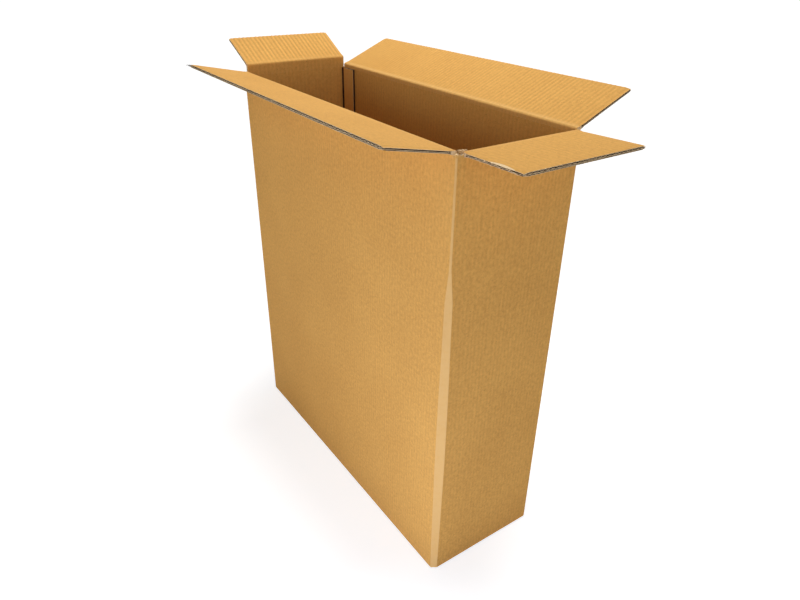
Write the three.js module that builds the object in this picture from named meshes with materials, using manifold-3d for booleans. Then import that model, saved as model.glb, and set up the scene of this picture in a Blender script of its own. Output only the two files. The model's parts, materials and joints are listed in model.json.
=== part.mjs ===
// A tall, narrow shipping carton of double-wall corrugated board, standing with its four top flaps open.
// Millimetres, +Z up. The origin is on the floor under the middle of the whole object, open flaps included.
// The carton is one folded and glued sheet. Its walls, glue tab and closed bottom flaps are one solid;
// each top flap is a solid of its own, because it turns about its score line.
import * as THREE from 'three';
import { mergeVertices } from 'three/addons/utils/BufferGeometryUtils.js';
import Module from 'manifold-3d';

const wasm = await Module();
wasm.setup();

// The carton, outside sizes
const BOX_LENGTH = 593;
const BOX_WIDTH = 205;
const RIM_HEIGHT = 681.5;      // middle of the board of the long flaps, where they leave the walls
const BOARD = 5.4;             // two fluted layers and three liners, a little flattened by handling
const CLEARANCE = 0.3;         // between a flap and what it turns past

// The board's layers, seen on every cut edge
const LINER = 0.45;
const MEDIUM = 0.5;            // the wavy paper, measured across the board
const WIDE_PITCH = 7.8;        // flutes next to the inner liner
const NARROW_PITCH = 6.4;      // flutes next to the outer liner
const WIDE_SHARE = 0.58;       // of the height left between the liners
const EDGE_DEPTH = 5;          // how far the open flutes are cut in at a flap's free end
const SIDE_DEPTH = 2.2;        // how deep the channels are on edges cut along the flutes
const SIDE_SKIN = 0.7;         // board left between a side channel and the end flutes
const TIP_GAP = 0.1;           // from a wave's crest to the liner
const WAVE_ROOT = 0.3;         // how far a wave runs on into the solid board behind it
const WAVE_INSET = 0.1;        // and how far it stops short of the liners' edge

// Scores
const BEAD = 0.9;              // radius of the crushed board along a score
const WALL_INNER_TAPER = 41;   // degrees from the wall, crushed faces beside the score
const WALL_OUTER_TAPER = 30;
const FLAP_INNER_TAPER = 41;
const FLAP_OUTER_TAPER = 32;

// Top flaps, as they stand open
const FLAP_GAP = 1.0;          // between the two long flaps when they are closed
const LONG_REACH = (BOX_WIDTH - BOARD - FLAP_GAP) / 2;   // from the middle of the wall to the free edge
const RIGHT_REACH = LONG_REACH;
const LEFT_REACH = 80;         // shorter, because it is bent over above its score
const RIGHT_DROP = 1.7;        // the right flap leaves its wall this much lower than the long ones
const LEFT_RISE = 12.5;        // the left flap is bent over this much higher
const FRONT_TILT = 11.5;       // degrees above the horizontal
const BACK_TILT = 23.0;
const RIGHT_TILT = 2.0;
const LEFT_TILT = 25.3;
// Slots, from a flap's side edge to the outer face of the wall round the corner
const LONG_SLOT = 6.5;
const RIGHT_SLOT_NEAR = 11.0;
const RIGHT_SLOT_FAR = 7.0;
const LEFT_SLOT = 5.7;
// The long flaps turn above the middle of their board, so that they close over the right flap.
const LONG_SHIFT = (BOARD + CLEARANCE - RIGHT_DROP) / 2;

// The walls' corners and the bottom
const CORNER_FACET = 6;                  // width of the flattened strip down a folded corner
const CORNER_SKIN = 3;                   // board left across a flattened corner
// The corner that faces the photograph is pressed flatter low down. Each entry is a height, as a share
// of the rim's, and the width of the strip there.
const NEAR_FACET = [[0, 10.3], [0.125, 11.7], [0.33, 13.7], [0.5, 12.7], [0.65, 10.4], [0.72, 9.7],
  [0.79, 4.0], [1, 2.9]];
const CREASED_LEG = 0.6;                 // cut of a corner that is only creased sharp
const BOTTOM_REACH = LONG_REACH;         // of the end flaps of the bottom, from the middle of the wall
const BOTTOM_SEAM = 1.2;                 // gap between the two long bottom flaps
const END_LIFT = 2.0;                    // the end walls stand this far clear of the floor
const EDGE_CUT = 1.8;                    // bevel of the folds along the floor
const SEAM_STEP = 1;                     // overlap that makes two cuts meet cleanly

// The glued corner
const TAB_WIDTH = 35;
const TAB_BOARD = 4.4;                   // the tab is pressed thinner where it's glued
const SEAM_DEPTH = 3.2;                  // notch outside, where the wall turns in behind the cut edge
const SEAM_OPENING = 5.5;
const SEAM_LIP = 0.3;
const TAB_FOOT = 6;                      // from the floor of the carton to the tab's lower end
const TAB_GROOVE = 1.5;                  // depth of the channels in the tab's cut edge

const HALF_L = BOX_LENGTH / 2;
const HALF_W = BOX_WIDTH / 2;
const INNER_L = HALF_L - BOARD;
const INNER_W = HALF_W - BOARD;
const HALF_BOARD = BOARD / 2;
const ABOVE = RIM_HEIGHT + LEFT_RISE + 30;    // higher than anything on the walls
const EXTRA = 5;                              // how far a cutting shape runs past what it cuts
// The slots end just under the right flap as it lies when it is closed.
const SLOT_FLOOR = RIM_HEIGHT - RIGHT_DROP - HALF_BOARD - 2 * CLEARANCE;

// from and to run along the score, in X for the long flaps and in Y for the short ones
const FLAPS = {
  top_flap_front: { out: [0, -1], tilt: FRONT_TILT, reach: LONG_REACH, shift: LONG_SHIFT, rise: 0,
    from: -HALF_L + LONG_SLOT, to: HALF_L - LONG_SLOT },
  top_flap_back: { out: [0, 1], tilt: BACK_TILT, reach: LONG_REACH, shift: LONG_SHIFT, rise: 0,
    from: -HALF_L + LONG_SLOT, to: HALF_L - LONG_SLOT },
  top_flap_right: { out: [1, 0], tilt: RIGHT_TILT, reach: RIGHT_REACH, shift: 0, rise: -RIGHT_DROP,
    from: -HALF_W + RIGHT_SLOT_NEAR, to: HALF_W - RIGHT_SLOT_FAR },
  top_flap_left: { out: [-1, 0], tilt: LEFT_TILT, reach: LEFT_REACH, shift: 0, rise: LEFT_RISE,
    from: -HALF_W + LEFT_SLOT, to: HALF_W - LEFT_SLOT },
};

const rad = THREE.MathUtils.degToRad;

// Solids
function solid(geometry) {
  const bare = geometry.clone();
  bare.deleteAttribute('normal');
  bare.deleteAttribute('uv');
  const merged = mergeVertices(bare, 1e-5);
  return new wasm.Manifold(new wasm.Mesh({
    numProp: 3,
    vertProperties: new Float32Array(merged.attributes.position.array),
    triVerts: new Uint32Array(merged.index.array),
  }));
}

function box(x0, x1, y0, y1, z0, z1) {
  const geometry = new THREE.BoxGeometry(x1 - x0, y1 - y0, z1 - z0);
  geometry.translate((x0 + x1) / 2, (y0 + y1) / 2, (z0 + z1) / 2);
  return solid(geometry);
}

// A flat outline, counter-clockwise, pushed along the local third axis from low to high.
function prism(points, low, high) {
  const shape = new THREE.Shape(points.map(([a, b]) => new THREE.Vector2(a, b)));
  const geometry = new THREE.ExtrudeGeometry(shape, { depth: high - low, bevelEnabled: false });
  geometry.translate(0, 0, low);
  return geometry;
}

// Joins outlines of equal point count, each at its own height, into one closed skin.
function loft(rings) {
  const count = rings[0].points.length;
  const positions = [];
  for (const ring of rings) {
    for (const [x, y] of ring.points) positions.push(x, y, ring.z);
  }
  const faces = [];
  for (let level = 0; level < rings.length - 1; level += 1) {
    for (let i = 0; i < count; i += 1) {
      const a = level * count + i;
      const b = level * count + (i + 1) % count;
      faces.push(a, b, b + count, a, b + count, a + count);
    }
  }
  const cap = THREE.ShapeUtils.triangulateShape(
    rings[0].points.map(([x, y]) => new THREE.Vector2(x, y)), []);
  const top = (rings.length - 1) * count;
  for (const [a, b, c] of cap) {
    faces.push(a, c, b);
    faces.push(top + a, top + b, top + c);
  }
  const geometry = new THREE.BufferGeometry();
  geometry.setAttribute('position', new THREE.Float32BufferAttribute(positions, 3));
  geometry.setIndex(faces);
  return geometry;
}

// Local axes of a wall and its flap: outward, up, and along the score.
function wallFrame(out) {
  const [ox, oy] = out;
  const outward = new THREE.Vector3(ox, oy, 0);
  const up = new THREE.Vector3(0, 0, 1);
  const along = new THREE.Vector3().crossVectors(outward, up);
  const middle = (ox === 0 ? HALF_W : HALF_L) - HALF_BOARD;
  return { outward, up, along, middle };
}

// The range of a flap along its score, in its own along direction.
function span(flap) {
  const { along } = wallFrame(flap.out);
  const sign = along.x + along.y;
  return sign > 0 ? [flap.from, flap.to] : [-flap.to, -flap.from];
}

function scoreHeight(flap) {
  return RIM_HEIGHT + flap.rise + flap.shift;
}

// A top flap
// Local plane: r runs from the score to the free edge, n is the side that faces into a closed box.
function flapProfile(inner, outer, end) {
  const points = [];
  const top = rad(FLAP_INNER_TAPER);
  const bottom = rad(FLAP_OUTER_TAPER);
  points.push([outer / Math.tan(bottom), -outer]);
  points.push([end, -outer]);
  points.push([end, inner]);
  points.push([inner / Math.tan(top), inner]);
  const steps = 5;
  for (let i = 0; i <= steps; i += 1) {
    const angle = top + (2 * Math.PI - bottom - top) * (i / steps);
    points.push([BEAD * Math.cos(angle), BEAD * Math.sin(angle)]);
  }
  return points;
}

// The two fluted layers, as [lower face, upper face, pitch], for a board from -outer to inner.
function layers(inner, outer) {
  const open = inner + outer - 3 * LINER;
  const narrow = open * (1 - WIDE_SHARE);
  const low = -outer + LINER;
  return [
    [low, low + narrow, NARROW_PITCH],
    [low + narrow + LINER, inner - LINER, WIDE_PITCH],
  ];
}

// One wavy paper, standing in its recess: a zigzag of constant thickness.
function wave(low, high, pitch, u0, u1) {
  const turns = Math.round((u1 - u0) / pitch);
  const step = (u1 - u0) / (2 * turns);
  const crest = (high - low) / 2 - MEDIUM / 2 - TIP_GAP;
  const middle = (high + low) / 2;
  const line = [];
  for (let i = 0; i <= 2 * turns; i += 1) {
    line.push([u0 + i * step, middle + (i % 2 === 0 ? -crest : crest)]);
  }
  const lower = line.map(([u, n]) => [u, n - MEDIUM / 2]);
  const upper = line.map(([u, n]) => [u, n + MEDIUM / 2]).reverse();
  return [...lower, ...upper];
}

function flapGeometry(flap) {
  const inner = HALF_BOARD - flap.shift;
  const outer = HALF_BOARD + flap.shift;
  const end = flap.reach;
  const [u0, u1] = span(flap);
  // The prism's axes are r, n and then along, so u needs no turning here.
  let body = solid(prism(flapProfile(inner, outer, end), u0, u1));
  const grooveStart = outer / Math.tan(rad(FLAP_OUTER_TAPER)) + SIDE_DEPTH;
  const waves = [];
  for (const [low, high, pitch] of layers(inner, outer)) {
    const w0 = u0 + SIDE_DEPTH + SIDE_SKIN;
    const w1 = u1 - SIDE_DEPTH - SIDE_SKIN;
    body = body.subtract(box(end - EDGE_DEPTH, end + EXTRA, low, high, w0, w1));
    for (const [s0, s1] of [[u0 - EXTRA, u0 + SIDE_DEPTH], [u1 - SIDE_DEPTH, u1 + EXTRA]]) {
      body = body.subtract(box(grooveStart, end - SIDE_SKIN, low, high, s0, s1));
    }
    const outline = wave(low, high, pitch, w0 + TIP_GAP, w1 - TIP_GAP);
    // Drawn in (along, n), then turned so that it is pushed along r.
    const sheet = prism(outline, WAVE_INSET, EDGE_DEPTH + WAVE_ROOT);
    sheet.applyMatrix4(new THREE.Matrix4().makeBasis(
      new THREE.Vector3(0, 0, 1), new THREE.Vector3(0, 1, 0), new THREE.Vector3(-1, 0, 0)));
    sheet.translate(end, 0, 0);
    waves.push(solid(sheet));
  }
  for (const sheet of waves) body = body.add(sheet);
  return body;
}

// Carries a flap from its own axes to its place, tilted as it stands open.
function flapPlacement(flap) {
  const { outward, up, along, middle } = wallFrame(flap.out);
  const tilt = rad(flap.tilt);
  const r = outward.clone().multiplyScalar(Math.cos(tilt)).addScaledVector(up, Math.sin(tilt));
  const n = outward.clone().multiplyScalar(-Math.sin(tilt)).addScaledVector(up, Math.cos(tilt));
  const matrix = new THREE.Matrix4().makeBasis(r, n, along);
  matrix.setPosition(outward.clone().multiplyScalar(middle).setZ(scoreHeight(flap)));
  return matrix;
}

// The folded sheet
function nearFacetAt(z) {
  const share = z / RIM_HEIGHT;
  for (let i = 1; i < NEAR_FACET.length; i += 1) {
    const [s0, w0] = NEAR_FACET[i - 1];
    const [s1, w1] = NEAR_FACET[i];
    if (share <= s1) return w0 + (w1 - w0) * (share - s0) / (s1 - s0);
  }
  return NEAR_FACET[NEAR_FACET.length - 1][1];
}

// A rectangle with its corners cut: legs in the order near, right, back, left.
function cutRectangle(hx, hy, legs) {
  const [near, right, back, left] = legs;
  return [
    [hx - near, -hy], [hx, -hy + near],
    [hx, hy - right], [hx - right, hy],
    [-hx + back, hy], [-hx, hy - back],
    [-hx, -hy + left], [-hx + left, -hy],
  ];
}

function outerRing(z) {
  const near = nearFacetAt(z) / Math.SQRT2;
  const leg = CORNER_FACET / Math.SQRT2;
  return { z, points: cutRectangle(HALF_L, HALF_W, [near, leg, CREASED_LEG, leg]) };
}

// Inside, a corner is cut just enough to leave the skin of a flattened corner.
function innerRing(z) {
  const innerLeg = (outerLeg) => Math.max(CREASED_LEG, outerLeg + CORNER_SKIN * Math.SQRT2 - 2 * BOARD);
  const near = innerLeg(nearFacetAt(z) / Math.SQRT2);
  const leg = innerLeg(CORNER_FACET / Math.SQRT2);
  return { z, points: cutRectangle(INNER_L, INNER_W, [near, leg, CREASED_LEG, leg]) };
}

// What is cut away above a wall so that its top narrows to the score.
function wallTopCutter(flap) {
  const { outward, up, along, middle } = wallFrame(flap.out);
  const score = scoreHeight(flap);
  const tip = score - BEAD - CLEARANCE;
  const inTan = Math.tan(rad(WALL_INNER_TAPER));
  const outTan = Math.tan(rad(WALL_OUTER_TAPER));
  const reach = HALF_BOARD + TIP_GAP / 2;
  const points = [
    [-reach, score - reach / inTan],
    [-(BEAD + CLEARANCE) * inTan, tip],
    [(BEAD + CLEARANCE) * outTan, tip],
    [reach, score - reach / outTan],
    [reach + EXTRA, score - reach / outTan],
    [reach + EXTRA, ABOVE + EXTRA],
    [-reach - EXTRA, ABOVE + EXTRA],
    [-reach - EXTRA, score - reach / inTan],
  ];
  const [u0, u1] = span(flap);
  const geometry = prism(points, u0 - CLEARANCE / 2, u1 + CLEARANCE / 2);
  const matrix = new THREE.Matrix4().makeBasis(outward, up, along);
  matrix.setPosition(outward.clone().multiplyScalar(middle));
  geometry.applyMatrix4(matrix);
  return solid(geometry);
}

// The long bevel of a fold along the floor, at distance from the middle and height above the floor.
function floorBevel(out, distance, height, half) {
  const { outward, up, along } = wallFrame(out);
  const points = [
    [distance - EDGE_CUT, height], [distance - EDGE_CUT, height - EXTRA],
    [distance + EXTRA, height - EXTRA], [distance + EXTRA, height + EDGE_CUT],
    [distance, height + EDGE_CUT],
  ];
  const geometry = prism(points, -half, half);
  geometry.applyMatrix4(new THREE.Matrix4().makeBasis(outward, up, along));
  return solid(geometry);
}

function cartonBody() {
  const heights = [...NEAR_FACET.map(([share]) => share * RIM_HEIGHT), ABOVE];
  let body = solid(loft(heights.map(outerRing)));
  const floor = 2 * BOARD;
  const inside = [floor, ...heights.filter((z) => z > floor + SEAM_STEP), ABOVE + EXTRA];
  body = body.subtract(solid(loft(inside.map(innerRing))));

  // The end flaps of the bottom lie on the long ones and leave the middle one board thick.
  const open = HALF_L - HALF_BOARD - BOTTOM_REACH;
  body = body.subtract(box(-open, open, -INNER_W, INNER_W, BOARD, floor + SEAM_STEP));
  const seam = BOTTOM_SEAM / 2;
  body = body.subtract(box(-HALF_L + LONG_SLOT, HALF_L - LONG_SLOT, -seam, seam, -EXTRA, BOARD));

  // Under the end walls the long bottom flaps stop short, and the folds are bevelled.
  for (const side of [-1, 1]) {
    const x0 = side * (HALF_L - LONG_SLOT);
    const x1 = side * (HALF_L + EXTRA);
    const [low, high] = [Math.min(x0, x1), Math.max(x0, x1)];
    body = body.subtract(box(low, high, -HALF_W - EXTRA, HALF_W + EXTRA, -EXTRA, END_LIFT));
    body = body.subtract(floorBevel([side, 0], HALF_L, END_LIFT, HALF_W + EXTRA));
    body = body.subtract(floorBevel([0, side], HALF_W, 0, HALF_L + EXTRA));
  }

  // The glue tab turns in behind the back wall at its left end.
  const tabFoot = floor + TAB_FOOT;
  const tabTop = SLOT_FLOOR - CLEARANCE;
  const tabEnd = -INNER_L + TAB_WIDTH;
  body = body.add(box(-INNER_L - SEAM_STEP, tabEnd, INNER_W - TAB_BOARD, INNER_W + SEAM_STEP, tabFoot, tabTop));
  for (const [low, high] of layers(TAB_BOARD / 2, TAB_BOARD / 2)) {
    const y = INNER_W - TAB_BOARD / 2;
    body = body.subtract(box(tabEnd - TAB_GROOVE, tabEnd + EXTRA, y - high, y - low,
      tabFoot + SEAM_STEP, tabTop + SEAM_STEP));
  }

  // Outside, the left wall rounds in behind the back wall's cut edge, which shows its layers.
  const notch = prism([
    [-HALF_L - SEAM_STEP, INNER_W], [-HALF_L - SEAM_STEP, INNER_W - SEAM_OPENING],
    [-HALF_L + SEAM_DEPTH, INNER_W - SEAM_LIP], [-HALF_L + SEAM_DEPTH, INNER_W],
  ], END_LIFT - EXTRA, ABOVE + EXTRA);
  body = body.subtract(solid(notch));
  for (const [low, high] of layers(HALF_BOARD, HALF_BOARD)) {
    const y = HALF_W - HALF_BOARD;
    body = body.subtract(box(-HALF_L - EXTRA, -HALF_L + TAB_GROOVE, y - high, y - low,
      BOARD + EDGE_CUT, ABOVE + EXTRA));
  }

  // Slots between neighbouring top flaps, then the narrowing of every wall top to its score.
  for (const side of [-1, 1]) {
    const end = side > 0 ? FLAPS.top_flap_right : FLAPS.top_flap_left;
    const x0 = side * (HALF_L - LONG_SLOT);
    const x1 = side * (HALF_L + EXTRA);
    const [low, high] = [Math.min(x0, x1), Math.max(x0, x1)];
    body = body.subtract(box(low, high, -HALF_W - EXTRA, end.from, SLOT_FLOOR, ABOVE + EXTRA));
    body = body.subtract(box(low, high, end.to, HALF_W + EXTRA, SLOT_FLOOR, ABOVE + EXTRA));
  }
  for (const flap of Object.values(FLAPS)) body = body.subtract(wallTopCutter(flap));
  return body;
}

// Meshes
function toGeometry(manifold) {
  const mesh = manifold.getMesh();
  const geometry = new THREE.BufferGeometry();
  geometry.setAttribute('position', new THREE.Float32BufferAttribute(mesh.vertProperties, 3));
  geometry.setIndex(Array.from(mesh.triVerts));
  return geometry;
}

function kraft(colour, roughness) {
  return new THREE.MeshStandardMaterial({ color: colour, roughness, metalness: 0 });
}

const pieces = [['carton_body', toGeometry(cartonBody()), kraft(0xc4965a, 0.9)]];
for (const [name, flap] of Object.entries(FLAPS)) {
  const geometry = toGeometry(flapGeometry(flap));
  geometry.applyMatrix4(flapPlacement(flap));
  pieces.push([name, geometry, kraft(0xd0a062, 0.88)]);
}

// The frame's origin goes under the middle of everything, with the open flaps counted.
const bounds = new THREE.Box3();
for (const [, geometry] of pieces) {
  geometry.computeBoundingBox();
  bounds.union(geometry.boundingBox);
}
const centre = bounds.getCenter(new THREE.Vector3());

const group = new THREE.Group();
group.name = 'double_wall_corrugated_box';
for (const [name, geometry, material] of pieces) {
  geometry.translate(-centre.x, -centre.y, -bounds.min.z);
  geometry.computeVertexNormals();
  const mesh = new THREE.Mesh(geometry, material);
  mesh.name = name;
  group.add(mesh);
}

export default group;
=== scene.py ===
# %% [markdown]
# # A tall carton of double-wall corrugated board
#
# The carton is one sheet of board. It was scored, slotted, folded and glued at one corner, its bottom
# flaps were closed, and its four top flaps stand open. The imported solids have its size, its folds and
# its hinges. This lesson gives it what a solid doesn't show: papers with open flutes between them,
# the washboard that the flutes press into the faces, soft folds, and the colour of kraft paper.

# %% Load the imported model
import json
import math
import random

import bpy
from mathutils import Matrix, Vector


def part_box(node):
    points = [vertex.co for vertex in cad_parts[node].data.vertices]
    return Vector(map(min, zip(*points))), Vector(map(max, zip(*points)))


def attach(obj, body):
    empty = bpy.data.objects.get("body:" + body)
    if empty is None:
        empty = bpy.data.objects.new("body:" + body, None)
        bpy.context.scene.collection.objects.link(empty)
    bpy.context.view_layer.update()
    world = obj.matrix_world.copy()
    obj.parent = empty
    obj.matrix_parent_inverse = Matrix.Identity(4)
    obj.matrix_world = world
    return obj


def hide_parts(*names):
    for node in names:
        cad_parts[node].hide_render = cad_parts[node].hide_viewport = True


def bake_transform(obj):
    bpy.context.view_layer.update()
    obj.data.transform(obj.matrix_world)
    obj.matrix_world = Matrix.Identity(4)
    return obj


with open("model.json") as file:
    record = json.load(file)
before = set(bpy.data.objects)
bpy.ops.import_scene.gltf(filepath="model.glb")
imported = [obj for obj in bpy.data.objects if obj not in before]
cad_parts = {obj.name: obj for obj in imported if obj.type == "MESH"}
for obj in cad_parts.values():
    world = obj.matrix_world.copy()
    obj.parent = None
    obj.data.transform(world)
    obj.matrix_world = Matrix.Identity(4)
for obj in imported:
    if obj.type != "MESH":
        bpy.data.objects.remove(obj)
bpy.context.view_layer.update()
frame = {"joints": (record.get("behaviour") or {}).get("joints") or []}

# %% [markdown]
# ## Sizes
#
# Everything below is written in millimetres, from the middle of the carton's own floor, and turned into
# metres at the last moment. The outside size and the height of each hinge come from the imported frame,
# so that the dressed board can't drift away from the solids. The layers of the board are stated here:
# an inner paper over wide flutes, a middle paper, narrow flutes, and an outer paper.

# %% Sizes of the carton and of its board
MM = 0.001
body_low, body_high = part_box("carton_body")
CENTRE = ((body_low[0] + body_high[0]) / 2, (body_low[1] + body_high[1]) / 2)
HALF_L = (body_high[0] - body_low[0]) / 2 / MM
HALF_W = (body_high[1] - body_low[1]) / 2 / MM
BOARD = 5.4
HALF_BOARD = BOARD / 2
INNER_L = HALF_L - BOARD
INNER_W = HALF_W - BOARD
PAPER = 0.45               # thickness of each flat paper
FLUTE_PAPER = 0.5          # thickness of the wavy papers
WIDE_PITCH = 7.8           # flutes under the inner paper
NARROW_PITCH = 6.4         # flutes under the outer paper
NARROW_SHARE = 0.42        # of the height between the flat papers
SLOT_FLOOR = 676.5         # the walls are whole up to here, and slotted between the flaps above
ROOT = 5.5                 # the crushed board of a fold reaches this far into its flap
FOLD_LEG = 2.5             # how far the rounding of a fold's inner paper reaches along each face
SHARP_LEG = 0.3            # and that of its outer paper
PER_FLUTE = 6              # columns of points for each flute
PANEL_FADE = 8.0           # the washboard dies away this close to a folded corner
PINCH = 1.0                # each face of a flap is pressed in this far at its cut sides
PINCH_REACH = 7.0          # and recovers this far in
END_PINCH = 0.5            # each face is pressed in this far at the free edge
END_REACH = 5.0            # and recovers this far in
print(f"carton {2 * HALF_L:.1f} x {2 * HALF_W:.1f} mm outside, board {BOARD} mm")

# %% The four top flaps
# For each flap: the way out of the box, its tilt in degrees, how far its inner face lies above the hinge,
# its reach, its range along the fold in X or Y, and how much further it goes to either side at its free
# edge, where the slots are wider.
FLAPS = {
    "front": {"out": (0, -1), "tilt": 11.5, "inner": 0.7, "reach": 99.3, "span": (-290.0, 290.0),
              "splay": (1.5, 4.0)},
    "back": {"out": (0, 1), "tilt": 23.0, "inner": 0.7, "reach": 99.3, "span": (-290.0, 290.0),
             "splay": (0.0, 0.0)},
    "right": {"out": (1, 0), "tilt": 2.0, "inner": 2.7, "reach": 99.3, "span": (-91.5, 95.5),
              "splay": (4.0, 1.2)},
    "left": {"out": (-1, 0), "tilt": 25.3, "inner": 2.7, "reach": 80.0, "span": (-96.8, 96.8),
             "splay": (0.0, 4.0)},
}
# The height of the washboard on each flap, as a share of the walls' own
RIDGES = {"front": 1.2, "back": 2.4, "right": 1.0, "left": 4.6}
# How strong the painted highlight is in a band beside the fold, where the rounded crease catches light
CREASE_HIGHLIGHT = {"front": 0.35, "back": 0.5, "right": 0.2, "left": 0.15}

for joint in frame["joints"]:
    side = joint["name"].split("_")[0]
    FLAPS[side]["score"] = joint["pos_m"][2] / MM
    FLAPS[side]["body"] = joint["child"]
    print(f"{side} flap turns {FLAPS[side]['score']:.1f} mm above the floor")

# %% [markdown]
# ## Places on a wall
#
# A wall and its flap are easiest to draw in the wall's own directions: out of the box, up, and along the
# fold. A point of the section is then two numbers, and the piece is that section drawn along the fold.
# The flap's part of the section is drawn flat and turned up by the flap's tilt.

# %% Directions of a wall
def wall_axes(out):
    outward = Vector((out[0], out[1], 0))
    up = Vector((0, 0, 1))
    along = outward.cross(up)
    middle = (HALF_W if out[0] == 0 else HALF_L) - HALF_BOARD
    return outward, up, along, middle


def place(x, y, z):
    """A point in metres, in the shared frame."""
    return Vector((CENTRE[0] + x * MM, CENTRE[1] + y * MM, z * MM))


def wall_point(out, s, z, u):
    outward, up, along, middle = wall_axes(out)
    at = outward * (middle + s) + along * u
    return place(at.x, at.y, z)


def smooth(t):
    t = max(0.0, min(1.0, t))
    return t * t * (3 - 2 * t)


def spread(low, high, step):
    """Values from low to high, evenly spaced by about step."""
    count = max(1, round((high - low) / step))
    return [low + (high - low) * i / count for i in range(count + 1)]


# %% [markdown]
# ## Gathering the papers
#
# One folded sheet is one piece, but it is made of many closed papers. They are gathered in lists of
# points and faces first and become one mesh at the end. Each point carries four marks: the phase of the
# flute that it lies on, how much washboard it takes, which side of its paper it is on, and its wear and
# painted highlight. Each face carries the number of the finish that it gets.

# %% A gatherer for papers
# FLUTES_AND_SHADE is the dark paper of the wavy papers and of the faces within the board, darkened with
# painted shade
OUTSIDE, INSIDE, FLUTES_AND_SHADE, CUT = range(4)


class Board:
    def __init__(self):
        self.points = []
        self.faces = []
        self.finish = []
        self.marks = {"phase": [], "lift": [], "side": [], "wear_and_highlight": []}

    def point(self, at, phase=0.0, lift=0.0, side=0.0, wear_and_highlight=0.0):
        self.points.append(at)
        for name, value in zip(self.marks, (phase, lift, side, wear_and_highlight)):
            self.marks[name].append(value)
        return len(self.points) - 1

    def face(self, corners, finish):
        self.faces.append(corners)
        self.finish.append(finish)

    def grid(self, rows, finish, flip=False):
        """Quads between neighbouring rows of point numbers."""
        for low, high in zip(rows, rows[1:]):
            for i in range(len(low) - 1):
                quad = (low[i], low[i + 1], high[i + 1], high[i])
                self.face(quad[::-1] if flip else quad, finish)

    def block(self, corners, finish):
        """A closed six-sided solid from two rings of four points."""
        a = [self.point(at) for at in corners]
        for quad in ((3, 2, 1, 0), (4, 5, 6, 7), (0, 1, 5, 4), (1, 2, 6, 5), (2, 3, 7, 6), (3, 0, 4, 7)):
            self.face(tuple(a[i] for i in quad), finish)

    def mesh(self, name):
        mesh = bpy.data.meshes.new(name)
        mesh.from_pydata(self.points, [], self.faces)
        for mark, values in self.marks.items():
            mesh.attributes.new(mark, "FLOAT", "POINT").data.foreach_set("value", values)
        mesh.attributes.new("finish", "INT", "FACE").data.foreach_set("value", self.finish)
        return mesh


# %% A paper drawn along a fold
def panel_lift(half, value):
    """The washboard fades where a panel meets a folded corner."""
    return max(0.0, min(1.0, (half - abs(value)) / PANEL_FADE))


def flute_luck(value, pitch):
    """No two flutes press through alike: a share from 0.6 to 1.4 for the flute at this place."""
    return 0.6 + 0.8 * random.Random(round(value / pitch)).random()


def pinch_at(columns, u):
    """How far a face is pressed in near the cut sides of its flap."""
    return PINCH * (1 - smooth(min(u - columns[0], columns[-1] - u) / PINCH_REACH))


def splayed(u, low, high, splay, share):
    """Where a point at u along the fold goes at this share of the flap's reach."""
    t = (u - low) / (high - low)
    return u + share * (splay[1] * t - splay[0] * (1 - t))


def normals_of(path, hand):
    found = []
    for i in range(len(path)):
        before = path[max(i - 1, 0)]
        after = path[min(i + 1, len(path) - 1)]
        ds, dz = after[0] - before[0], after[1] - before[1]
        size = math.hypot(ds, dz)
        found.append((-hand * dz / size, hand * ds / size))
    return found


def paper(board, out, path, thickness, columns, hand, pitch, finish, strengths=None, wears_and_highlights=None,
          pinches=None, splay=(0.0, 0.0), shares=None, plain=0):
    """A closed paper along the path. hand is 1 where its shown face is left of the path, -1 where right.
    The first plain rows of its hidden face are finished like the shown one, so that no dark face shows
    through where a fold is tight."""
    strengths = strengths or [1.0] * len(path)
    wears_and_highlights = wears_and_highlights or [0.0] * len(path)
    pinches = pinches or [0.0] * len(path)
    shares = shares or [0.0] * len(path)
    pressed = [pinch_at(columns, u) for u in columns]
    lifts = [panel_lift(HALF_L if out[0] == 0 else HALF_W, u) * flute_luck(u, pitch) for u in columns]
    shift = 0.0 if hand > 0 else 0.5
    rows = {1: [], -1: []}
    for side in (1, -1):
        depth = 0.0 if side > 0 else thickness
        for (s, z), (ns, nz), strength, wear_and_highlight, pinch, share in zip(
                path, normals_of(path, hand), strengths, wears_and_highlights, pinches, shares):
            row = []
            for u, lift, press in zip(columns, lifts, pressed):
                d = depth + press * pinch
                at = splayed(u, columns[0], columns[-1], splay, share)
                row.append(board.point(wall_point(out, s - d * ns, z - d * nz, at),
                                       u / pitch + shift, lift * strength, side, wear_and_highlight))
            rows[side].append(row)
    board.grid(rows[1], finish)
    board.grid(rows[-1][:plain + 1], finish, flip=True)
    # The rest of the hidden face takes the dark flute paper, with its painted shade
    board.grid(rows[-1][plain:], FLUTES_AND_SHADE, flip=True)
    for i in (0, -1):
        board.grid([rows[1][i], rows[-1][i]], CUT, flip=i == 0)
    for i in (0, -1):
        edge = [[row[i] for row in rows[1]], [row[i] for row in rows[-1]]]
        board.grid(edge, CUT, flip=i != 0)
    return rows


# %% [markdown]
# ## Flutes
#
# The wavy papers are what makes the board corrugated, and every cut edge shows them. A wave is a rule, so
# Geometry Nodes draws it: a line cut into short steps, lifted by a cosine, and swept with a thin upright
# rectangle as deep as the flap is long. The flutes are open from the free edge to the fold, as they are
# in the real board. Their paper is a darker kraft, darkened further with painted shade for the gaps
# between the flutes, and only its cut edge is pale, so that the zigzag stands out against the gaps.

# %% A node tree for one wavy paper
def new_tree(name, sockets):
    tree = bpy.data.node_groups.new(name, "GeometryNodeTree")
    keys = {}
    for label, kind in sockets:
        keys[label] = tree.interface.new_socket(name=label, in_out="INPUT", socket_type=kind).identifier
    tree.interface.new_socket(name="Geometry", in_out="OUTPUT", socket_type="NodeSocketGeometry")
    return tree, keys


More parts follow.
